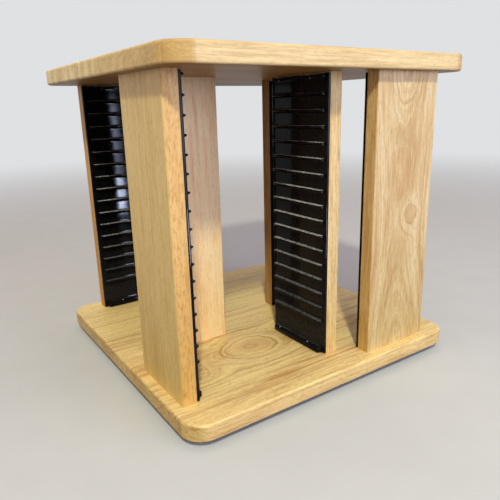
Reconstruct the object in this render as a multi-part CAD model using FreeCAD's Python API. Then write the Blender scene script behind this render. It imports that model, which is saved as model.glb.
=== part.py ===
import FreeCAD, Part
import os

os.makedirs("parts", exist_ok=True)

# A revolving wooden tower for disc cases. Four bays open to the four sides in a pinwheel.
# Millimetres, +Z up. The origin is the centre of the feet's underside, on the turning axis.

# The cases that the bays hold, lying flat with the spine outwards
case_width = 190.0
case_depth = 135.0
case_side_play = 0.5
case_rear_play = 2.0

# Wooden boards
board_side = 432.0
board_thickness = 21.0
board_corner_radius = 28.0
board_edge_round = 3.0
base_lower_bevel = 2.0

# Wooden slats, with a stub tenon at each end
slat_length = 362.0
slat_width = 110.0
slat_thickness = 19.0
slat_edge_round = 2.2
slat_side_inset = 14.0
tenon_height = 9.0
tenon_thickness = 9.0
tenon_side_shoulder = 15.0
tenon_side_play = 0.1
tenon_end_play = 0.8

# Moulded rack inserts, one on the inner face of each slat
plate_thickness = 3.0
plate_side_margin = 0.4
plate_end_gap = 1.5
rib_count = 16
rib_pitch = 19.17
rib_reach = 6.5
rib_root_thickness = 3.6
rib_tip_thickness = 2.4
rib_end_margin = 5.0
rib_lead_in = 2.0
top_lip_drop = 4.2
bottom_lip_rise = 10.4
bottom_lip_slope = 2.2

# Turntable: two steel discs on a centre rivet, with caged rollers between them
disc_thickness = 1.5
disc_rim_width = 25.0
roller_circle_radius = 125.0
roller_count = 8
roller_radius = 2.0
roller_length = 8.0
roller_play = 0.05
cage_width = 16.0
cage_thickness = 2.0
pocket_play = 0.15
rivet_shank_radius = 5.0
rivet_head_radius = 9.0
rivet_head_thickness = 1.2
rivet_running_play = 0.05
rivet_lift_play = 0.4
rivet_recess_play = 1.0

# Rubber feet under the lower disc
foot_count = 4
foot_radius = 9.0
foot_height = 3.0
foot_rim_inset = 14.0

# Sizes that follow
disc_radius = roller_circle_radius + disc_rim_width
lower_disc_top = foot_height + disc_thickness
roller_axis_height = lower_disc_top + roller_play + roller_radius
upper_disc_bottom = lower_disc_top + 2 * (roller_radius + roller_play)
base_underside = upper_disc_bottom + disc_thickness
base_top = base_underside + board_thickness
slat_top = base_top + slat_length

# Plan of the front bay, which opens towards -Y; the other three are turned copies
half_side = board_side / 2
bay_width = case_width + 2 * (case_side_play + plate_thickness)
outer_slat_left = -half_side + slat_side_inset
inner_slat_left = outer_slat_left + slat_thickness + bay_width
rear_stop_face = half_side - slat_side_inset - 2 * slat_thickness - bay_width
slat_front = rear_stop_face - case_depth - case_rear_play
bay_turns = {"front": 0.0, "right": 90.0, "back": 180.0, "left": 270.0}

centre = FreeCAD.Vector(0, 0, 0)
upward = FreeCAD.Vector(0, 0, 1)


def save(node, solids):
    shape = solids[0] if len(solids) == 1 else Part.makeCompound(solids)
    shape.exportStep("parts/" + node + ".step")


def turned(shape, angle):
    copy = shape.copy()
    copy.rotate(centre, upward, angle)
    return copy


def around(shape, count, first=0.0):
    step = 360.0 / count
    return [turned(shape, first + step * index) for index in range(count)]


def block(x, y, z, length, width, height):
    return Part.makeBox(length, width, height, FreeCAD.Vector(x, y, z))


def face_from(points):
    corners = [FreeCAD.Vector(*point) for point in points]
    return Part.Face(Part.makePolygon(corners + corners[:1]))


def revolved(section):
    """Turn a section of (radius, height) points about the Z axis."""
    profile = face_from([(radius, 0, height) for radius, height in section])
    return profile.revolve(centre, upward, 360)


def upright_edges(solid):
    return [edge for edge in solid.Edges if edge.BoundBox.ZLength > solid.BoundBox.ZLength / 2]


def rim_edges(solid, height):
    """The edges that lie in the horizontal plane at this height."""
    boxes = [(edge, edge.BoundBox) for edge in solid.Edges]
    return [edge for edge, box in boxes if abs(box.ZMin - height) + abs(box.ZMax - height) < 1e-6]


# Wooden pieces

def tenon(slat_left, bottom, side_play=0.0, end_play=0.0):
    """A slat's stub tenon, or with its plays the mortise for it."""
    return block(
        slat_left + (slat_thickness - tenon_thickness) / 2 - side_play,
        slat_front + tenon_side_shoulder - side_play,
        bottom - end_play,
        tenon_thickness + 2 * side_play,
        slat_width - 2 * tenon_side_shoulder + 2 * side_play,
        tenon_height + end_play,
    )


def slat(left):
    """An upright slat of the front bay with eased long edges and a tenon at each end."""
    blank = block(left, slat_front, base_top, slat_thickness, slat_width, slat_length)
    upright = blank.makeFillet(slat_edge_round, upright_edges(blank))
    return upright.fuse([tenon(left, base_top - tenon_height), tenon(left, slat_top)])


def mortises(tenon_bottom):
    """The sockets for all eight tenons of one board; the end play lies below tenon_bottom."""
    lefts = (outer_slat_left, inner_slat_left)
    cuts = [tenon(left, tenon_bottom, tenon_side_play, tenon_end_play) for left in lefts]
    return Part.makeCompound([turned(cut, angle) for cut in cuts for angle in bay_turns.values()])


def board(bottom):
    """A square board with rounded corners, before its edges are eased."""
    blank = block(-half_side, -half_side, bottom, board_side, board_side, board_thickness)
    return blank.makeFillet(board_corner_radius, upright_edges(blank))


def top_board():
    blank = board(slat_top)
    rims = rim_edges(blank, slat_top) + rim_edges(blank, slat_top + board_thickness)
    eased = blank.makeFillet(board_edge_round, rims)
    return eased.cut(mortises(slat_top + tenon_end_play))


def base_board():
    """The board on the turntable, with a recess for the head of the centre rivet."""
    blank = board(base_underside)
    eased = blank.makeFillet(board_edge_round, rim_edges(blank, base_top))
    eased = eased.makeChamfer(base_lower_bevel, rim_edges(eased, base_underside))
    recess_radius = rivet_head_radius + rivet_recess_play
    recess_depth = rivet_lift_play + rivet_head_thickness + rivet_recess_play
    recess = Part.makeCylinder(recess_radius, recess_depth, FreeCAD.Vector(0, 0, base_underside))
    return eased.cut(mortises(base_top - tenon_height)).cut(recess)


# Moulded rack insert

def rib_levels():
    """Heights of the ribs and, last, of the top lip, all on one pitch."""
    top_level = slat_top - top_lip_drop
    return [top_level - rib_pitch * (rib_count - index) for index in range(rib_count + 1)]


def rib_section(level):
    """A shelf rib: flat on top where the case lies, drafted underneath."""
    top = level + rib_root_thickness / 2
    return [(0, top), (rib_reach, top), (rib_reach, top - rib_tip_thickness), (0, top - rib_root_thickness)]


def top_lip_section(level):
    under = level - rib_root_thickness / 2
    crown = slat_top - plate_end_gap
    return [(0, under), (rib_reach, under), (rib_reach, under + rib_tip_thickness), (0, crown)]


def bottom_lip_section():
    """A deep lip, flush with the plate's lower end, for the pins that hold the moulding."""
    under = base_top + plate_end_gap
    crown = base_top + bottom_lip_rise
    return [(0, crown), (rib_reach, crown - bottom_lip_slope), (rib_reach, under), (0, under)]


def shelf(face_x, towards, section):
    """A bar along the plate with this (reach, height) section and a lead-in at the bay's mouth."""
    start = slat_front + plate_side_margin + rib_end_margin
    length = slat_width - 2 * (plate_side_margin + rib_end_margin)
    profile = face_from([(face_x + towards * reach, start, height) for reach, height in section])
    bar = profile.extrude(FreeCAD.Vector(0, length, 0))
    tip_x = face_x + towards * rib_reach
    lead_x = tip_x - towards * rib_lead_in
    below = bar.BoundBox.ZMin - 1
    corner = face_from([(tip_x, start, below), (lead_x, start, below), (tip_x, start + rib_lead_in, below)])
    return bar.cut(corner.extrude(FreeCAD.Vector(0, 0, bar.BoundBox.ZLength + 2)))


def rack_insert(wood_face, towards):
    """Plate and ribs of one moulding; they meet face to face as separate convex solids."""
    plate = block(
        min(wood_face, wood_face + towards * plate_thickness),
        slat_front + plate_side_margin,
        base_top + plate_end_gap,
        plate_thickness,
        slat_width - 2 * plate_side_margin,
        slat_length - 2 * plate_end_gap,
    )
    levels = rib_levels()
    sections = [rib_section(level) for level in levels[:-1]]
    sections.append(top_lip_section(levels[-1]))
    sections.append(bottom_lip_section())
    face_x = wood_face + towards * plate_thickness
    return [plate] + [shelf(face_x, towards, section) for section in sections]


# Turntable

def disc(bottom, bore_radius):
    plate = Part.makeCylinder(disc_radius, disc_thickness, FreeCAD.Vector(0, 0, bottom))
    bore = Part.makeCylinder(bore_radius, disc_thickness, FreeCAD.Vector(0, 0, bottom))
    return plate.cut(bore)


def centre_rivet():
    """A two-headed rivet, tight in the lower disc and turning freely in the upper one."""
    lower_head = foot_height - rivet_head_thickness
    upper_head = base_underside + rivet_lift_play
    top = upper_head + rivet_head_thickness
    section = [(0, lower_head), (rivet_head_radius, lower_head), (rivet_head_radius, foot_height)]
    section += [(rivet_shank_radius, foot_height), (rivet_shank_radius, upper_head)]
    section += [(rivet_head_radius, upper_head), (rivet_head_radius, top), (0, top)]
    return revolved(section)


def roller():
    """A roller lying on a radius of the discs."""
    start = FreeCAD.Vector(roller_circle_radius - roller_length / 2, 0, roller_axis_height)
    return Part.makeCylinder(roller_radius, roller_length, start, FreeCAD.Vector(1, 0, 0))


def roller_cage():
    """A flat ring that keeps the rollers apart, with a straight-sided pocket for each."""
    bottom = roller_axis_height - cage_thickness / 2
    outer = Part.makeCylinder(roller_circle_radius + cage_width / 2, cage_thickness)
    inner = Part.makeCylinder(roller_circle_radius - cage_width / 2, cage_thickness)
    ring = outer.cut(inner)
    ring.translate(FreeCAD.Vector(0, 0, bottom))
    pocket_length = roller_length + 2 * pocket_play
    pocket_width = 2 * (roller_radius + pocket_play)
    pocket = block(
        roller_circle_radius - pocket_length / 2,
        -pocket_width / 2,
        bottom,
        pocket_length,
        pocket_width,
        cage_thickness,
    )
    return ring.cut(Part.makeCompound(around(pocket, roller_count)))


def foot():
    return Part.makeCylinder(foot_radius, foot_height, FreeCAD.Vector(disc_radius - foot_rim_inset, 0, 0))


# Build and save every node

save("top_board", [top_board()])
save("base_board", [base_board()])

outer_slat = slat(outer_slat_left)
inner_slat = slat(inner_slat_left)
outer_rack = rack_insert(outer_slat_left + slat_thickness, 1)
inner_rack = rack_insert(inner_slat_left, -1)
for side, angle in bay_turns.items():
    save("slat_" + side + "_outer", [turned(outer_slat, angle)])
    save("slat_" + side + "_inner", [turned(inner_slat, angle)])
    save("rack_" + side + "_outer", [turned(solid, angle) for solid in outer_rack])
    save("rack_" + side + "_inner", [turned(solid, angle) for solid in inner_rack])

save("turntable_lower_disc", [disc(foot_height, rivet_shank_radius)])
save("turntable_upper_disc", [disc(upper_disc_bottom, rivet_shank_radius + rivet_running_play)])
save("turntable_rivet", [centre_rivet()])
save("turntable_cage", [roller_cage()])
save("turntable_rollers", around(roller(), roller_count))
save("rubber_feet", around(foot(), foot_count, 180.0 / foot_count))
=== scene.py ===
import math
from functools import partial

import bpy
from mathutils import Matrix, Vector


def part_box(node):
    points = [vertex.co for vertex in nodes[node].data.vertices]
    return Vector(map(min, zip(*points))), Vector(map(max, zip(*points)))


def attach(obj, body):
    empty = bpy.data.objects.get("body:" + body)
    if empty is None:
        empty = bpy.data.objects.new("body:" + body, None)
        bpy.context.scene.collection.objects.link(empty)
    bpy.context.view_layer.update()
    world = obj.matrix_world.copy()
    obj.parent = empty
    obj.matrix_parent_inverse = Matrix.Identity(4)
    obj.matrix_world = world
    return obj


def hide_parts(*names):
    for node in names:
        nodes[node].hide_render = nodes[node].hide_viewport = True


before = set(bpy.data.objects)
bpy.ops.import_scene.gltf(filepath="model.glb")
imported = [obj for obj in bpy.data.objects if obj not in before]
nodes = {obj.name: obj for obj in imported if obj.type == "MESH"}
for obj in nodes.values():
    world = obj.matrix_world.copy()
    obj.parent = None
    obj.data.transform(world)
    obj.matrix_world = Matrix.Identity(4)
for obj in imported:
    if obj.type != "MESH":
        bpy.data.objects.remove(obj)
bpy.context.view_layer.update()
mm = 0.001
bayTurns = {"front": 0, "right": 90, "back": 180, "left": 270}  # degrees about the turning axis
crispAngle = 35  # degrees; edges that bend more than this stay crisp
print("frame loaded,", len(nodes), "nodes")


def linearColour(hexCode):  # sRGB hex to the linear colour that a socket takes
    parts = [int(hexCode[i:i + 2], 16) / 255 for i in (1, 3, 5)]
    return [c / 12.92 if c <= 0.04045 else ((c + 0.055) / 1.055) ** 2.4 for c in parts] + [1.0]


def addNode(tree, kind, *values, stops=(), **settings):
    # values fill the sockets in order, settings name a socket or a property, and stops are a
    # ramp's pairs of position and tone: a hex colour, a grey level or four channels
    node = tree.nodes.new("ShaderNode" + kind)
    for name, value in settings.items():
        if name not in node.inputs:
            setattr(node, name, value)
    named = [(name, value) for name, value in settings.items() if name in node.inputs]
    for name, value in list(enumerate(values)) + named:
        if isinstance(value, bpy.types.Node):
            value = value.outputs[0]
        if isinstance(value, bpy.types.NodeSocket):
            tree.links.new(value, node.inputs[name])
        else:
            node.inputs[name].default_value = linearColour(value) if isinstance(value, str) else value
    if stops:
        elements = node.color_ramp.elements
        for stop in stops[1:-1]:
            elements.new(stop[0])
        for element, (position, tone) in zip(elements, stops):
            if isinstance(tone, str):
                tone = linearColour(tone)
            element.position = position
            element.color = tone if isinstance(tone, (list, tuple)) else [tone] * 3 + [1.0]
    return node


def newMaterial(name):
    material = bpy.data.materials.new(name)
    material.use_nodes = True
    material.node_tree.nodes.clear()
    return material, partial(addNode, material.node_tree)


def newPiece(name, vertices, faces, material, body):
    mesh = bpy.data.meshes.new(name)
    mesh.from_pydata(vertices, [], faces)
    mesh.validate()
    mesh.shade_smooth()
    mesh.set_sharp_from_angle(angle=math.radians(crispAngle))
    mesh.materials.append(material)
    piece = bpy.data.objects.new(name, mesh)
    bpy.context.scene.collection.objects.link(piece)
    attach(piece, body)
    return piece


def giveMaterial(nodeName, material):
    mesh = nodes[nodeName].data
    mesh.materials.clear()
    mesh.materials.append(material)


# Rubberwood, planed, sanded and varnished: pale gold with pink-brown growth lines, fine pores
# drawn out along the grain and a satin gloss. The growth rings are cut through in three
# dimensions, so faces, edges and end grain of one piece belong together.

woodGrain = {
    "seed": 0,                # which part of the noises a piece is cut from
    "ringSpacing": 6.5,       # mm between growth lines
    "warp": 12,               # mm, how far the lines wander
    "warpSize": (80, 300),    # mm across and along the grain, as for the other sizes
    "fibreSize": (1.5, 26),   # real fibres are finer, this is the finest that shows
    "poreSize": (0.9, 8),     # real pores are 0.2 mm wide, drawn coarser so that they show
    "streakSize": (3.6, 80),
    "bandSize": (12, 400),    # light and dark bands that run through
    "toneSize": (55, 200),    # broad drifts of colour
    "fleckSize": (2.4, 8),    # short dashes along the grain
    "wedgeSize": (45, 16),    # mm through the piece and across it, pale ray figure on end grain
    "wedgeTurn": 0.5,         # radians, which cut through the noise that figure is
    "wedgeReach": (-70.0, 20.0),  # mm across, from where it starts to where it is full
    "rippleSize": 14,         # mm, unevenness of a knot's own lines
    "toneMix": (("tone", 0.22), ("band", 0.22), ("streak", 0.3), ("fibre", 0.26)),
    "spread": 0.095,          # how soon the tones reach the pale and deep ends: less is livelier
    # early wood darkens slowly into a narrow late line, then starts pale again
    "lateWood": [(0.0, 0.5), (0.1, 0.08), (0.25, 0.0), (0.6, 0.12), (0.8, 0.45), (0.9, 1.0), (1.0, 0.7)],
    "lineBreaks": (0.38, 0.58, 1.0, 0.2),  # streak noise over which a line fades, and from and to what
    "rings": 0.3,             # how dark the growth lines are at the most
    "pores": 0.32,
    "poreFrom": (0.6, 0.68),  # noise where a pore starts and where it is full, and so for the others
    "flecks": 0.25,
    "fleckFrom": (0.5, 0.66),
    "edgeFlecks": 0.0,        # on edges and end grain, where 0 means the same as on the faces
    "wedges": 0.0,            # how pale the ray figure is at the most
    "wedgeFrom": (0.47, 0.62),
    "depth": 40,              # mm from the middle of the piece to the heart of the tree
    "heart": 0,               # mm, the heart's place across the piece
    "tilt": 0.0,              # mm that the heart sinks for each mm along
    "drift": 0.0,             # mm that the heart moves across for each mm along
    "bow": 0.0,               # 1/mm, how the heart bends away towards the ends
    # knots and arches: place across and along, half sizes, closed lines, darkness of the lines
    # and of the core, and how far from the heart the growth lines are that close round it
    "eyes": [],
    "eyeHold": (1.1, 2.6),    # half sizes between which a knot lets the growth lines go
    # staves of a board: left edge as a share of the width, depth and place of the heart in mm,
    # then how pale the stave is on its faces and on its end grain, where 0.5 is the middle
    "staves": [],
    "staveRange": (200, 300),  # mm, the largest depth and place of a stave's heart
    "width": 432,             # mm across all staves
    "glueLine": 0.5,          # mm to each side; real lines are hair-thin, drawn wider so that they show
    "pale": "#eed6a6",
    "middle": "#dfbc83",
    "deep": "#c9995c",
    "ring": "#a27340",
    "pore": "#8a5f34",
    "wedge": "#fff3d2",
    "edgeFrom": (0.6, 0.9),   # how squarely a face looks along edgeAxis to count as an edge
    "edgeTintAndShade": "#ffffff",    # narrow faces of a slat, end grain of a board; on the right inner slat it is painted shade
    "faceTintsAndShade": [],          # other faces: the way they look and their tint; the top board's underside tint is painted shade
    "faceFrom": (0.7, 0.95),  # how squarely a face looks that way to get its tint
    "paintedFootShade": "#eeead2",    # painted shade: the lower end of a slat darker and warmer, where less light reaches, or nothing
    "footShadeReach": (-160.0, 10.0),  # mm from the slat's middle, full painted shade to none
    "gloss": (0.5, 0.4),      # roughness of the varnish beside the streaks and on them
    "varnish": {
        "IOR": 1.5, "Specular IOR Level": 0.22, "Coat Weight": 0.05, "Coat Roughness": 0.2, "Coat IOR": 1.5},
}


def staveLogs(add, grain, share, edgeShare):
    # each stave comes from another log: a stepped ramp holds its heart's depth and place and its tones
    deepest, widest = grain["staveRange"]
    log = add("ValToRGB", share, stops=[
        (edge, (depth / deepest, (heart + widest) / (2 * widest), faceTone, endTone))
        for edge, depth, heart, faceTone, endTone in grain["staves"]])
    log.color_ramp.interpolation = "CONSTANT"
    parts = add("SeparateColor", log)
    depth = add("Math", parts.outputs[0], deepest, operation="MULTIPLY")
    heart = add("Math", parts.outputs[1], 2 * widest, -widest, operation="MULTIPLY_ADD")
    tone = add("MapRange", edgeShare, 0.0, 1.0, parts.outputs[2], log.outputs["Alpha"])
    return depth, heart, add("Math", tone, 0.5, operation="SUBTRACT")


def heartDistance(add, grain, x, y, z, depth, heart):
    # the heart of the tree leans and bends along the piece
    lean = add("Math", z, grain["tilt"], depth, operation="MULTIPLY_ADD")
    square = add("Math", z, z, operation="MULTIPLY")
    bent = add("Math", square, grain["bow"], lean, operation="MULTIPLY_ADD")
    through = add("Math", x, bent, operation="ADD")
    shifted = add("Math", z, grain["drift"], heart, operation="MULTIPLY_ADD")
    across = add("Math", y, shifted, operation="SUBTRACT")
    flat = add("CombineXYZ", through, across, 0.0)
    return add("VectorMath", flat, operation="LENGTH").outputs["Value"]


def gatherKnots(add, grain, local, warp, radius):
    # a knot gathers the growth lines round itself, about a darker core
    linesDark, coresDark = 0.0, 0.0
    ripple = add("TexNoise", local, Scale=1 / grain["rippleSize"], Detail=3.0)
    for eyeY, eyeZ, sizeY, sizeZ, lines, lineDark, coreDark, level in grain["eyes"]:
        offset = add("VectorMath", local, (0, eyeY, eyeZ), operation="SUBTRACT")
        wander = add("VectorMath", warp.outputs["Color"], (0, sizeY, sizeZ), operation="MULTIPLY")
        moved = add("VectorMath", offset, wander, operation="ADD")
        centred = add("VectorMath", moved, (0, sizeY / 2, sizeZ / 2), operation="SUBTRACT")
        scaled = add("VectorMath", centred, (0, 1 / sizeY, 1 / sizeZ), operation="MULTIPLY")
        reach = add("VectorMath", scaled, operation="LENGTH").outputs["Value"]
        spacing = lines * grain["ringSpacing"]
        even = add("Math", reach, spacing, level - spacing, operation="MULTIPLY_ADD")
        own = add("Math", ripple, grain["ringSpacing"], even, operation="MULTIPLY_ADD")
        hold = add("MapRange", reach, *grain["eyeHold"], 1.0, 0.0, interpolation_type="SMOOTHSTEP")
        radius = add("MapRange", hold, 0.0, 1.0, radius, own)
        third = add("Math", reach, 1 / 3, operation="MULTIPLY")  # so that a ramp spans three half sizes
        lineShade = add("ValToRGB", third, stops=[
            (0.12, 0.0), (0.21, lineDark), (0.46, lineDark), (0.8, 0.0)])
        linesDark = add("Math", lineShade, linesDark, operation="ADD")
        coreShade = add("ValToRGB", third, stops=[
            (0.0, coreDark), (0.12, 0.85 * coreDark), (0.3, 0.0)])
        coresDark = add("Math", coreShade, coresDark, operation="ADD")
    return radius, linesDark, coresDark


def growthLines(add, grain, radius, linesDark):
    # each line is as dark as its year's chance makes it, and darker round a knot
    rings = add("Math", radius, grain["ringSpacing"], operation="DIVIDE")
    ringPart = add("Math", rings, operation="FRACT")
    ringNumber = add("Math", rings, operation="FLOOR")
    chance = add("TexWhiteNoise", noise_dimensions="1D", W=ringNumber)
    lateWood = add("ValToRGB", ringPart, stops=grain["lateWood"])
    weight = add("Math", chance.outputs["Value"], grain["rings"], linesDark, operation="MULTIPLY_ADD")
    return add("Math", lateWood, weight, operation="MULTIPLY")


def grainNoises(add, grain, local, grown):
    # streaks and bands follow the growth lines, the others run straight
    seed = grain["seed"]
    noises = {}
    for number, (key, source, detail) in enumerate([
            ("fibre", local, 2.0), ("pore", local, 1.0), ("streak", grown, 3.0),
            ("band", grown, 2.0), ("tone", local, 2.0), ("fleck", local, 2.0)]):
        width, length = grain[key + "Size"]
        apart = (seed * 3.7, seed * 7.3 + number * 11, seed * 3.1)  # so that no two noises agree
        place = add("Mapping", source, apart, (0, 0, 0), (1 / width, 1 / width, 1 / length))
        noises[key] = add("TexNoise", place, Scale=1.0, Detail=detail, Roughness=0.55)
    return noises


def glueStaves(add, grain, share, colour):
    # glue lines between the staves
    half = grain["glueLine"] / grain["width"]
    stops = [(0.0, 0.0)]
    for stave in grain["staves"][1:]:
        stops += [(stave[0] - half, 0.0), (stave[0], 0.7), (stave[0] + half, 0.0)]
    glue = add("ValToRGB", share, stops=stops + [(1.0, 0.0)])
    return add("MixRGB", glue, colour, grain["ring"])


def rayWedges(add, grain, local, y, edgeShare, colour):
    # ray figure on sawn end grain: pale wedges from face to face, on one part of the edge
    through, across = grain["wedgeSize"]
    turned = (0, 0, grain["wedgeTurn"])
    place = add("Mapping", local, (grain["seed"], 0, 0), turned, (1 / through, 1 / across, 0))
    figure = add("TexNoise", place, Scale=1.0, Detail=3.0, Distortion=0.5)
    start, full = grain["wedgeFrom"]
    wedge = add("ValToRGB", figure, stops=[(start, 0.0), (full, grain["wedges"])])
    shown = add("MapRange", y, *grain["wedgeReach"], 0.0, edgeShare)
    wedgePart = add("Math", wedge, shown, operation="MULTIPLY")
    return add("MixRGB", wedgePart, colour, grain["wedge"])


def tintAndShadeFaces(add, grain, normal, z, edgeShare, colour):
    # tints for edges and faces, some of them painted shade: the top board's underside, the right inner
    # slat's narrow faces and the lower ends of slats
    colour = add("MixRGB", edgeShare, colour, grain["edgeTintAndShade"], blend_type="MULTIPLY")
    for axis, faceTint in grain["faceTintsAndShade"]:
        looks = add("VectorMath", normal, axis, operation="DOT_PRODUCT")
        faceShare = add("MapRange", looks.outputs["Value"], *grain["faceFrom"], 0.0, 1.0)
        colour = add("MixRGB", faceShare, colour, faceTint, blend_type="MULTIPLY")
    # painted shade: darker and warmer towards a slat's lower end
    if grain["paintedFootShade"]:
        footShadeShare = add("MapRange", z, *grain["footShadeReach"], 1.0, 0.0)
        colour = add("MixRGB", footShadeShare, colour, grain["paintedFootShade"], blend_type="MULTIPLY")
    return colour


def varnishedWood(name, centre, rotation, edgeAxis, look):
    grain = dict(woodGrain, **look)
    material, add = newMaterial(name)
    # millimetres in the piece's own axes: X through it, Y across the grain, Z along it
    coordinate = add("TexCoord")
    normal = coordinate.outputs["Normal"]
    local = add("Mapping", coordinate.outputs["Object"], centre, rotation, (mm, mm, mm),
                vector_type="TEXTURE")
    x, y, z = add("SeparateXYZ", local).outputs
    facing = add("VectorMath", normal, edgeAxis, operation="DOT_PRODUCT")
    edgeOn = add("Math", facing.outputs["Value"], operation="ABSOLUTE")
    edgeShare = add("MapRange", edgeOn, *grain["edgeFrom"], 0.0, 1.0)

    # growth lines about the heart of the tree
    depth, heart, toneSum, linesDark = grain["depth"], grain["heart"], 0.0, 0.0
    if grain["staves"]:
        share = add("Math", y, 1 / grain["width"], 0.5, operation="MULTIPLY_ADD")
        depth, heart, toneSum = staveLogs(add, grain, share, edgeShare)
    distance = heartDistance(add, grain, x, y, z, depth, heart)
    warpAcross, warpAlong = grain["warpSize"]
    warpPlace = add("Mapping", local, (grain["seed"], 0, 0), (0, 0, 0),
                    (1 / warpAcross, 1 / warpAcross, 1 / warpAlong))
    warp = add("TexNoise", warpPlace, Scale=1.0, Detail=2.0)
    radius = add("Math", warp, grain["warp"], distance, operation="MULTIPLY_ADD")
    if grain["eyes"]:
        radius, linesDark, coresDark = gatherKnots(add, grain, local, warp, radius)
    ringLine = growthLines(add, grain, radius, linesDark)

    # ground colour, then whatever darkens it, from the broadest to the finest
    grown = add("CombineXYZ", x, radius, z)
    noises = grainNoises(add, grain, local, grown)
    for key, weight in grain["toneMix"]:
        toneSum = add("Math", noises[key], weight, toneSum, operation="MULTIPLY_ADD")
    spread = grain["spread"]
    ground = add("ValToRGB", toneSum, stops=[
        (0.5 - spread, grain["deep"]), (0.5, grain["middle"]), (0.5 + spread, grain["pale"])])
    broken = add("MapRange", noises["streak"], *grain["lineBreaks"])
    ringDark = add("Math", ringLine, broken, operation="MULTIPLY")
    fleckMost = add("MapRange", edgeShare, 0.0, 1.0, grain["flecks"], grain["edgeFlecks"] or grain["flecks"])
    start, full = grain["fleckFrom"]
    fleckShape = add("ValToRGB", noises["fleck"], stops=[(start, 0.0), (full, 1.0)])
    fleckDark = add("Math", fleckShape, fleckMost, operation="MULTIPLY")
    start, full = grain["poreFrom"]
    poreDark = add("ValToRGB", noises["pore"], stops=[(start, 0.0), (full, grain["pores"])])
    colour = add("MixRGB", fleckDark, ground, grain["deep"])
    if grain["eyes"]:
        colour = add("MixRGB", coresDark, colour, grain["deep"])
    colour = add("MixRGB", ringDark, colour, grain["ring"])
    colour = add("MixRGB", poreDark, colour, grain["pore"])
    if grain["staves"]:
        colour = glueStaves(add, grain, share, colour)
    if grain["wedges"]:
        colour = rayWedges(add, grain, local, y, edgeShare, colour)
    colour = tintAndShadeFaces(add, grain, normal, z, edgeShare, colour)

    relief = add("Math", noises["fibre"], poreDark, operation="SUBTRACT")
    bump = add("Bump", Height=relief, Strength=0.2, Distance=0.2 * mm)
    gloss = add("MapRange", noises["streak"], 0.3, 0.7, *grain["gloss"])
    add("OutputMaterial", add("BsdfPrincipled", colour, Roughness=gloss, Normal=bump, **grain["varnish"]))
    return material


slatLooks = {
    "front_outer": {
        "seed": 1, "depth": 70, "heart": 150, "tilt": 0.02, "warp": 9,
        "rings": 0.12, "spread": 0.15, "pores": 0.3, "edgeFlecks": 0.8,
        "pale": "#f0daa0", "middle": "#e6cc8c", "deep": "#d0ab68", "edgeTintAndShade": "#f9e5d8"},
    "front_inner": {
        "seed": 2, "depth": 30, "heart": -40, "tilt": 0.05, "rings": 0.25,
        "pale": "#f1dfb6", "middle": "#e4c892", "deep": "#cda56a"},
    "right_outer": {
        "seed": 3, "depth": 46, "heart": 4, "drift": 0.02, "bow": -0.0009, "spread": 0.1,
        "eyes": [(-16, 0, 11, 14, 1.3, 0.4, 0.36, 49), (2.6, 189, 20, 52, 3.2, 0.24, 0.0, 34)],
        "pale": "#ebdab4", "middle": "#dbc192", "deep": "#c5a070", "edgeTintAndShade": "#faedd6"},
    "right_inner": {
        # its narrow faces darkened: painted shade; no painted shade at its foot
        "seed": 4, "depth": 45, "heart": 50, "tilt": -0.03, "edgeTintAndShade": "#d0c0a6", "paintedFootShade": ""},
    "back_outer": {
        "seed": 5, "depth": 22, "heart": -8, "tilt": 0.09, "warp": 14, "rings": 0.35},
    "back_inner": {
        "seed": 6, "depth": 55, "heart": 30, "tilt": -0.04, "edgeTintAndShade": "#f4ead8"},
    "left_outer": {
        "seed": 7, "depth": 35, "heart": 20, "tilt": 0.06, "edgeTintAndShade": "#ead090"},
    "left_inner": {
        "seed": 8, "depth": 70, "heart": -70, "tilt": 0.03, "warp": 9,
        "rings": 0.15, "spread": 0.15, "pores": 0.16,
        "pale": "#fff0ca", "middle": "#ffddac", "deep": "#ebb984"},
}

boardLooks = {
    "base_board": {
        "seed": 9, "rings": 0.5, "fibreSize": (1.8, 34), "spread": 0.1,
        "eyes": [(-88, -50, 31, 46, 4.6, 0.2, 0.55, 47)],
        "staves": [
            (0.0, 90, -290, 0.53, 0.5), (0.062, 46, -88, 0.51, 0.48), (0.47, 40, 60, 0.53, 0.5),
            (0.616, 26, 30, 0.59, 0.47), (0.75, 50, 190, 0.58, 0.52), (0.88, 30, 130, 0.62, 0.5)],
        "pale": "#ffe6a0", "middle": "#efd395", "deep": "#cfa05c",
        "edgeFrom": (0.25, 0.6), "edgeTintAndShade": "#e0ded0",
        "faceTintsAndShade": [((0, -1, 0), "#eee9e8"), ((0, 1, 0), "#eee9e8")], "paintedFootShade": ""},
    "top_board": {
        "seed": 12, "spread": 0.14, "pores": 0.16, "wedges": 0.8, "edgeFlecks": 0.6,
        "staves": [
            (0.0, 50, -250, 0.475, 0.38), (0.036, 30, -60, 0.46, 0.45), (0.23, 70, 40, 0.545, 0.5),
            (0.472, 25, 60, 0.49, 0.57), (0.61, 60, 260, 0.55, 0.6), (0.789, 35, 160, 0.465, 0.62)],
        "pale": "#f4e2b6", "middle": "#e8cf9c", "deep": "#ccae7e",
        "edgeFrom": (0.02, 0.16), "edgeTintAndShade": "#f6efd8",
        # the underside darkened: painted shade
        "faceTintsAndShade": [((0, 0, -1), "#bca078")], "paintedFootShade": ""},
}


def finishWood(nodeName, label, rotation, edgeAxis, look):
    low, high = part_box(nodeName)
    name = "varnished rubberwood, " + label.replace("_", " ")
    giveMaterial(nodeName, varnishedWood(name, (low + high) / 2, rotation, edgeAxis, look))


for key, look in slatLooks.items():
    turn = math.radians(bayTurns[key.split("_")[0]])
    finishWood("slat_" + key, key + " slat", (0, 0, turn), (-math.sin(turn), math.cos(turn), 0), look)
for key, look in boardLooks.items():
    finishWood(key, key, (0, math.pi / 2, 0), (1, 0, 0), look)
print("wood finished")


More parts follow.
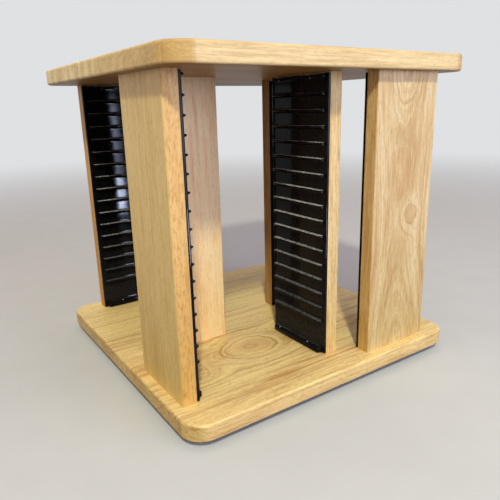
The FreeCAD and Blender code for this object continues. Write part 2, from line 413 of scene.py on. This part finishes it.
blackPlastic = {
    "sink": 22,                # mm, waves left by uneven cooling
    "cloud": 9,                # mm, patches of polish
    "slide": (40, 0.6),        # mm, level marks of cases sliding in: their length and how far apart
    "specks": 2.5,             # mm, clumps of dust
    "tints": ("#0a0a0c", "#121216"),
    "gloss": (0.05, 0.13),     # roughness in the patches of polish
    "dust": "#d2d5d9",
    "dustRoughness": 0.6,
    "dustFrom": (0.85, 1.0),   # how squarely a surface faces up to hold dust
    "dustPatches": (0.4, 0.6, 0.25, 1.15),  # noise of the clumps from and to, and the dust from and to
    "dustSheenRise": (0.1, 0.21),   # m, heights between which the dust on the ribs grows: painted sheen, the rib tops brighter higher up where the view grazes them
    "lowDustSheen": 0.16,           # how much of that painted sheen and dust there is below them, where 1 is full
    # the film: height in m and how thick it is there; none lies on the bottom lip
    "film": [(0.04, 0.0), (0.045, 0.02), (0.06, 0.02), (0.17, 0.0)],
    "filmSpan": 0.2,           # m, the height that the film's ramp spans
    "surface": {
        "IOR": 1.59, "Specular IOR Level": 0.065, "Sheen Weight": 0.04, "Sheen Roughness": 0.3,
        "Sheen Tint": "#c6d0e4"},
}


def mouldedPolystyrene():
    # Black polystyrene, injection moulded in a polished tool: a deep mirror-like black, slightly wavy, with
    # fine handling marks, grey dust lying on whatever faces up and a thin film of it low on the plates. The
    # dust on the ribs grows with height as a painted sheen, so the higher rib tops show brighter, as under a
    # grazing view.
    material, add = newMaterial("moulded black polystyrene")
    coordinate = add("TexCoord")
    metre = coordinate.outputs["Object"]
    sink = add("TexNoise", metre, Scale=1 / (blackPlastic["sink"] * mm), Detail=1.0)
    cloud = add("TexNoise", metre, Scale=1 / (blackPlastic["cloud"] * mm), Detail=4.0, Roughness=0.6)
    length, apart = (size * mm for size in blackPlastic["slide"])
    slide = add("Mapping", metre, (0, 0, 0), (0, 0, 0), (1 / length, 1 / length, 1 / apart))
    marks = add("TexNoise", slide, Scale=1.0, Detail=2.0)
    specks = add("TexNoise", metre, Scale=1 / (blackPlastic["specks"] * mm), Detail=3.0)
    gloss = add("MapRange", cloud, 0.3, 0.75, *blackPlastic["gloss"])
    dark, light = blackPlastic["tints"]
    tint = add("ValToRGB", cloud, stops=[(0.35, dark), (0.7, light)])
    facing = add("SeparateXYZ", coordinate.outputs["Normal"])
    upward = add("MapRange", facing.outputs[2], *blackPlastic["dustFrom"], 0.0, 1.0)
    patchy = add("MapRange", specks, *blackPlastic["dustPatches"])
    height = add("SeparateXYZ", metre).outputs[2]
    # painted sheen: the dust grows with height so that the upper rib tops show brighter
    thick = add("MapRange", height, *blackPlastic["dustSheenRise"], blackPlastic["lowDustSheen"], 1.0)
    lying = add("Math", upward, patchy, operation="MULTIPLY")
    span = blackPlastic["filmSpan"]
    heightShare = add("Math", height, 1 / span, operation="MULTIPLY")
    film = add("ValToRGB", heightShare, stops=[
        (level / span, share) for level, share in blackPlastic["film"]])
    smeared = add("Math", film, patchy, operation="MULTIPLY")
    dustAndSheen = add("Math", lying, thick, smeared, operation="MULTIPLY_ADD")
    colour = add("MixRGB", dustAndSheen, tint, blackPlastic["dust"])
    dull = add("MixRGB", dustAndSheen, gloss, [blackPlastic["dustRoughness"]] * 3 + [1.0])
    waves = add("Bump", Height=sink, Strength=0.12, Distance=0.5 * mm)
    fine = add("Bump", Height=marks, Strength=0.05, Distance=0.2 * mm, Normal=waves)
    shader = add("BsdfPrincipled", colour, Roughness=dull, Normal=fine, **blackPlastic["surface"])
    add("OutputMaterial", shader)
    return material


rackInsert = {  # sizes in mm
    "plateThickness": 3.0,
    "plateEdgeRound": 0.5,
    "edgeStep": 0.3,        # the middle of the rounding, as a share of it
    "ribStart": 387.6,      # height above the floor, one pitch above the top rib
    "ribPitch": 19.41,
    "ribCount": 16,
    "topLipLevel": 388.9,
    "endMargin": 5.0,       # plate left plain beside each end of a rib
    "endRound": 2.6,        # over which a rib's end curves back into the plate
    "endSteps": (0.06, 0.18, 0.38, 0.65, 1.0),  # where that curve is cut, as shares of endRound
    # outlines as (reach, height about the level), from under the rib round its nose to its top;
    # the outermost points only keep the plate between the ribs flat
    "rib": [
        (0, -3.9), (0, -2.9), (0.25, -2.2), (0.9, -1.72), (5.0, -0.8), (5.85, -0.6), (6.32, -0.2),
        (6.5, 0.35), (6.38, 0.9), (5.98, 1.35), (5.35, 1.66), (4.6, 1.8), (0.9, 1.86), (0.25, 2.2),
        (0, 2.9), (0, 3.9)],
    "topLip": [
        (0, -3.9), (0, -2.9), (0.25, -2.2), (0.9, -1.8), (5.4, -1.76), (6.1, -1.5), (6.5, -0.8),
        (6.42, -0.1), (6.0, 0.45), (5.3, 0.85), (0.6, 2.5), (0, 2.7)],
    # the bottom lip's heights start at the plate's lower end
    "bottomLip": [
        (0, 0), (5.7, 0), (6.3, 0.25), (6.5, 0.9), (6.5, 5.5), (6.3, 6.2), (5.6, 6.85), (0.9, 8.6),
        (0.25, 9.0), (0, 9.8), (0, 10.8)],
}

rackPlastic = mouldedPolystyrene()
rackPieces = bpy.data.collections.new("rackPieces")  # what the two gloss lamps shine on


def insertPlace(towards):
    # in mm, for the insert of the front bay that faces this way along X
    low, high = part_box("rack_front_outer" if towards > 0 else "rack_front_inner")
    wood = low.x if towards > 0 else high.x  # the slat's face behind it
    return {"wood": wood / mm, "mouth": low.y / mm, "width": (high.y - low.y) / mm, "foot": low.z / mm}


def rackOutline(foot):
    # front outline from bottom to top: (reach, height, height where the rib has run out)
    runs = [(rackInsert["bottomLip"], foot)]
    for step in range(rackInsert["ribCount"], 0, -1):
        runs.append((rackInsert["rib"], rackInsert["ribStart"] - rackInsert["ribPitch"] * step))
    runs.append((rackInsert["topLip"], rackInsert["topLipLevel"]))
    outline = []
    for points, level in runs:
        first, last = points[0][1], points[-1][1]
        for i, (reach, height) in enumerate(points):
            flat = first + (last - first) * i / (len(points) - 1)
            outline.append((reach, level + height, level + flat))
    return outline


def rackStations(width):
    # cuts from the mouth to the back: (distance, how far the ribs stand out, edge rounding)
    edgeRound = rackInsert["plateEdgeRound"]
    step = rackInsert["edgeStep"] * edgeRound
    half = [(0, 0, edgeRound), (step, 0, step), (edgeRound, 0, 0), (rackInsert["endMargin"], 0, 0)]
    for share in rackInsert["endSteps"]:
        distance = rackInsert["endMargin"] + rackInsert["endRound"] * share
        half.append((distance, math.sqrt(1 - (1 - share) ** 2), 0))
    return half + [(width - distance, stand, rounding) for distance, stand, rounding in reversed(half)]


def buildRack(nodeName, turn, towards):
    place = insertPlace(towards)
    outline = rackOutline(place["foot"])
    stations = rackStations(place["width"])
    vertices, faces = [], []
    for distance, stand, rounding in stations:
        for reach, height, flat in outline:
            out = rackInsert["plateThickness"] - rounding + reach * stand
            vertices.append((out, distance, height * stand + flat * (1 - stand)))
        vertices += [(0, distance, point[2]) for point in outline]
    count = len(outline)
    ring, top = 2 * count, count - 1
    for s in range(len(stations) - 1):
        a, b = s * ring, (s + 1) * ring
        for i in range(top):
            faces.append((a + i, a + i + 1, b + i + 1, b + i))
            faces.append((a + count + i, b + count + i, b + count + i + 1, a + count + i + 1))
        faces.append((a, b, b + count, a + count))
        faces.append((a + top, a + count + top, b + count + top, b + top))
    end = (len(stations) - 1) * ring
    for i in range(top):
        faces.append((i, count + i, count + i + 1, i + 1))
        faces.append((end + i, end + i + 1, end + count + i + 1, end + count + i))
    if towards > 0:
        faces = [tuple(reversed(face)) for face in faces]
    rotation = Matrix.Rotation(math.radians(turn), 3, "Z")
    placed = [rotation @ Vector((place["wood"] + towards * out, place["mouth"] + along, height)) * mm
              for out, along, height in vertices]
    piece = newPiece(nodeName + "_moulding", placed, faces, rackPlastic, "rack")
    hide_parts(nodeName)
    rackPieces.objects.link(piece)


for side, turn in bayTurns.items():
    buildRack("rack_" + side + "_outer", turn, 1)
    buildRack("rack_" + side + "_inner", turn, -1)
print("rack inserts moulded")


pins = {
    # (radius, height about the head's rim) from the crown to the tip
    "profile": [
        (0, 0.75), (0.6, 0.68), (1.0, 0.45), (1.25, 0.1), (1.25, -0.1), (0.5, -0.25), (0.5, -3.5),
        (0, -3.6)],
    "segments": 14,
    "rows": {"bottom": 7.25, "top": 357.35},  # mm above the insert's foot
    "along": (30.0, 91.0),   # mm from the insert's mouth edge
    "reach": 4.4,            # mm out from the plate
    "lean": 21,              # degrees
}

screws = {
    # (radius, height about the disc's face) from the recess in the crown to the tip
    "profile": [
        (0, 1.3), (0.9, 1.3), (1.2, 2.1), (2.4, 1.95), (3.4, 1.3), (3.8, 0.5), (3.8, 0), (1.8, 0),
        (1.8, -1.4), (0, -1.4)],
    "segments": 20,
    "circle": 142.0,         # mm from the turning axis
    "count": 8,
}


def turnedPiece(name, shape, material, body, place):
    # a lathe shape from its profile in mm, set at a place given as a matrix in metres
    profile, segments = shape["profile"], shape["segments"]
    vertices, faces = [], []
    for radius, height in profile[1:-1]:
        for i in range(segments):
            angle = 2 * math.pi * i / segments
            vertices.append((radius * math.cos(angle) * mm, radius * math.sin(angle) * mm, height * mm))
    lastRow = (len(profile) - 3) * segments  # its first vertex
    vertices += [(0, 0, profile[0][1] * mm), (0, 0, profile[-1][1] * mm)]
    crown, tip = len(vertices) - 2, len(vertices) - 1
    for row in range(0, lastRow, segments):
        for i in range(segments):
            j = (i + 1) % segments
            faces.append((row + j, row + i, row + segments + i, row + segments + j))
    for i in range(segments):
        j = (i + 1) % segments
        faces.append((crown, i, j))
        faces.append((tip, lastRow + j, lastRow + i))
    return newPiece(name, [place @ Vector(v) for v in vertices], faces, material, body)


def zincPlate(name, dark, light, roughness):
    # Zinc-plated steel: a grey metal with a faint cloudy tint and fine marks from pressing.
    material, add = newMaterial(name)
    metre = add("TexCoord").outputs["Object"]
    cloud = add("TexNoise", metre, Scale=1 / (14 * mm), Detail=3.0)  # 14 mm plating clouds
    grit = add("TexNoise", metre, Scale=1 / (0.8 * mm), Detail=2.0)  # 0.8 mm sheet texture
    tint = add("ValToRGB", cloud, stops=[(0.35, dark), (0.65, light)])
    dull = add("MapRange", cloud, 0.3, 0.7, roughness, roughness + 0.12)
    bump = add("Bump", Height=grit, Strength=0.12, Distance=0.1 * mm)
    add("OutputMaterial", add("BsdfPrincipled", tint, Metallic=1.0, Roughness=dull, Normal=bump))
    return material


zincSteel = zincPlate("zinc-plated pressed steel", "#b6b8ba", "#c9cac8", 0.3)
pinSteel = zincPlate("zinc-plated steel pin", "#a9abae", "#c4c5c6", 0.35)

for side, turn in bayTurns.items():
    spin = Matrix.Rotation(math.radians(turn), 4, "Z")
    for towards, wall in ((1, "outer"), (-1, "inner")):
        place = insertPlace(towards)
        out = place["wood"] + towards * (rackInsert["plateThickness"] + pins["reach"])
        lean = Matrix.Rotation(math.radians(pins["lean"] * towards), 4, "Y")
        for row, rise in pins["rows"].items():
            for number, along in enumerate(pins["along"]):
                head = Vector((out, place["mouth"] + along, place["foot"] + rise)) * mm
                name = "pin_%s_%s_%s_%d" % (side, wall, row, number + 1)
                setting = spin @ Matrix.Translation(head) @ lean
                pin = turnedPiece(name, pins, pinSteel, "rack", setting)

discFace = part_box("turntable_upper_disc")[0].z  # its underside, which the heads bear on
headDown = Matrix.Rotation(math.pi, 4, "X")
for number in range(screws["count"]):
    angle = 2 * math.pi * (number + 0.5) / screws["count"]
    radius = screws["circle"] * mm
    spot = Matrix.Translation((radius * math.cos(angle), radius * math.sin(angle), discFace))
    name = "turntable_screw_%d" % (number + 1)
    screw = turnedPiece(name, screws, zincSteel, "rack", spot @ headDown)
print("fasteners set")


def naturalNylon():
    # Moulded nylon, unpigmented: milky off-white with a soft sheen and faint flow marks.
    material, add = newMaterial("natural nylon")
    metre = add("TexCoord").outputs["Object"]
    flow = add("TexNoise", metre, Scale=1 / (6 * mm), Detail=3.0)  # 6 mm flow clouds
    tint = add("ValToRGB", flow, stops=[(0.35, "#dcd7c8"), (0.65, "#ebe7da")])
    soft = add("MapRange", flow, 0.3, 0.7, 0.38, 0.5)
    bump = add("Bump", Height=flow, Strength=0.1, Distance=0.3 * mm)
    add("OutputMaterial", add("BsdfPrincipled", tint, Roughness=soft, Normal=bump, IOR=1.53))
    return material


def mouldedRubber():
    # Black rubber feet: dead matt with a fine moulded grain that picks up dust.
    material, add = newMaterial("moulded rubber")
    metre = add("TexCoord").outputs["Object"]
    grain = add("TexNoise", metre, Scale=1 / (0.7 * mm), Detail=3.0)  # 0.7 mm grain
    dust = add("TexNoise", metre, Scale=1 / (8 * mm), Detail=3.0)  # 8 mm dust patches
    tint = add("ValToRGB", dust, stops=[(0.4, "#161616"), (0.75, "#2b2a29")])
    matt = add("MapRange", dust, 0.3, 0.7, 0.75, 0.9)
    bump = add("Bump", Height=grain, Strength=0.4, Distance=0.2 * mm)
    add("OutputMaterial", add("BsdfPrincipled", tint, Roughness=matt, Normal=bump))
    return material


nylon = naturalNylon()
turntableFinish = {
    "turntable_lower_disc": zincSteel,
    "turntable_upper_disc": zincSteel,
    "turntable_rivet": zincSteel,
    "turntable_cage": nylon,
    "turntable_rollers": nylon,
    "rubber_feet": mouldedRubber(),
}
for nodeName, material in turntableFinish.items():
    giveMaterial(nodeName, material)
print("turntable finished")


studio = {
    "floorRadius": 8.0,              # m
    "floorSides": 64,
    "floorColours": ("#d4d9df", "#d1d6dc"),
    "floorMottle": 60,               # mm, barely seen
    "floorBounce": "#4b4844",        # what the floor gives back to other surfaces
    "floorFade": (0.7, 3.5),         # m from the middle, over which it melts into the backdrop
    "backdrop": "#dfe1e3",
    "skyFill": "#f8e3da",
    "skyStrengths": (1.85, 0.5),     # at the horizon and from skyRise up
    "skyRise": 0.35,                 # sine of 20 degrees
    "lampAim": (0, 0, 0.2),          # the middle of the tower
}

lamps = {
    # a high lamp in a narrow softbox
    "keyLamp": {
        "place": (-1.15, -1.89, 2.25), "size": (0.14, 0.26), "power": 62, "colour": "#f2efd4"},
    # a broad daylight panel, low in front
    "dayPanel": {
        "place": (0.75, -1.95, 0.55), "size": (1.2, 0.9), "power": 20, "colour": "#d2deff"},
    # a window and a curtain, seen only as reflections in the black plastic
    "glossCard": {
        "place": (0.156, -0.6, 0.089), "size": (0.026, 0.112), "power": 1.5, "colour": "#d2deff",
        "shinesOn": rackPieces},
    "glossVeil": {
        "place": (0.151, -0.6, 0.262), "size": (0.032, 0.22), "power": 0.5, "colour": "#d2deff",
        "shinesOn": rackPieces},
}


def buildFloor():
    # Plain paper sweep: pale, matt and faintly mottled, fading into the backdrop far away.
    material, add = newMaterial("pale paper sweep")
    metre = add("TexCoord").outputs["Object"]
    unseen = add("LightPath").outputs["Is Diffuse Ray"]
    fibres = add("TexNoise", metre, Scale=1 / (studio["floorMottle"] * mm), Detail=3.0)
    low, high = studio["floorColours"]
    pale = add("ValToRGB", fibres, stops=[(0.3, low), (0.7, high)])
    colour = add("MixRGB", unseen, pale, studio["floorBounce"])
    paper = add("BsdfPrincipled", colour, Roughness=0.9, **{"Specular IOR Level": 0.1})
    seen = add("Math", 1.0, unseen, operation="SUBTRACT")
    far = add("Emission", studio["backdrop"], seen)
    fromCentre = add("VectorMath", metre, operation="LENGTH").outputs["Value"]
    fade = add("MapRange", fromCentre, *studio["floorFade"], 0.0, 1.0, interpolation_type="SMOOTHSTEP")
    add("OutputMaterial", add("MixShader", fade, paper, far))
    sides, radius = studio["floorSides"], studio["floorRadius"]
    corners = [2 * math.pi * i / sides for i in range(sides)]
    mesh = bpy.data.meshes.new("studioFloor")
    mesh.from_pydata([(radius * math.cos(a), radius * math.sin(a), 0) for a in corners], [],
                     [tuple(range(sides))])
    mesh.materials.append(material)
    floor = bpy.data.objects.new("studioFloor", mesh)
    bpy.context.scene.collection.objects.link(floor)


def buildWorld():
    # the backdrop as it is seen, and a warmer fill, strongest at the horizon, as matt surfaces get it
    world = bpy.data.worlds.new("studioWorld")
    world.use_nodes = True
    world.node_tree.nodes.clear()
    add = partial(addNode, world.node_tree)
    path = add("LightPath")
    direction = add("SeparateXYZ", add("TexCoord").outputs["Generated"])
    height = add("Math", direction.outputs[2], operation="ABSOLUTE")
    strength = add("MapRange", height, 0.0, studio["skyRise"], *studio["skyStrengths"])
    fill = add("Background", studio["skyFill"], strength)
    backdrop = add("Background", studio["backdrop"], 1.0)
    add("OutputWorld", add("MixShader", path.outputs["Is Diffuse Ray"], backdrop, fill))
    bpy.context.scene.world = world


def buildLamp(name, place, size, power, colour, shinesOn=None):
    lamp = bpy.data.lights.new(name, "AREA")
    lamp.shape = "RECTANGLE"
    lamp.size, lamp.size_y = size
    lamp.energy = power
    lamp.color = linearColour(colour)[:3]
    holder = bpy.data.objects.new(name, lamp)
    holder.location = place
    aim = Vector(studio["lampAim"]) - Vector(place)
    holder.rotation_euler = aim.to_track_quat("-Z", "Y").to_euler()
    holder.visible_camera = False
    holder.visible_diffuse = not shinesOn
    if shinesOn:
        holder.light_linking.receiver_collection = shinesOn
    bpy.context.scene.collection.objects.link(holder)


view = {
    "location": (-0.4175, -0.63112, 0.35672),
    "heading": 0.97645,    # radians from +X, counterclockwise
    "downward": 0.27632,
    "roll": -0.02544,
    "lens": 36.635,        # mm
    "sensor": 36,          # mm wide
    "nearest": 0.01,       # m
}


def buildCamera():
    lens = bpy.data.cameras.new("camera")
    lens.lens = view["lens"]
    lens.sensor_width = view["sensor"]
    lens.clip_start = view["nearest"]
    camera = bpy.data.objects.new("camera", lens)
    heading = Matrix.Rotation(view["heading"] - math.pi / 2, 4, "Z")
    pitch = Matrix.Rotation(math.pi / 2 - view["downward"], 4, "X")
    roll = Matrix.Rotation(view["roll"], 4, "Z")
    camera.matrix_world = Matrix.Translation(view["location"]) @ heading @ pitch @ roll
    bpy.context.scene.collection.objects.link(camera)
    bpy.context.scene.camera = camera


buildFloor()
buildWorld()
for name, lamp in lamps.items():
    buildLamp(name, **lamp)
buildCamera()
bpy.context.scene.view_settings.view_transform = "Standard"
print("studio ready")
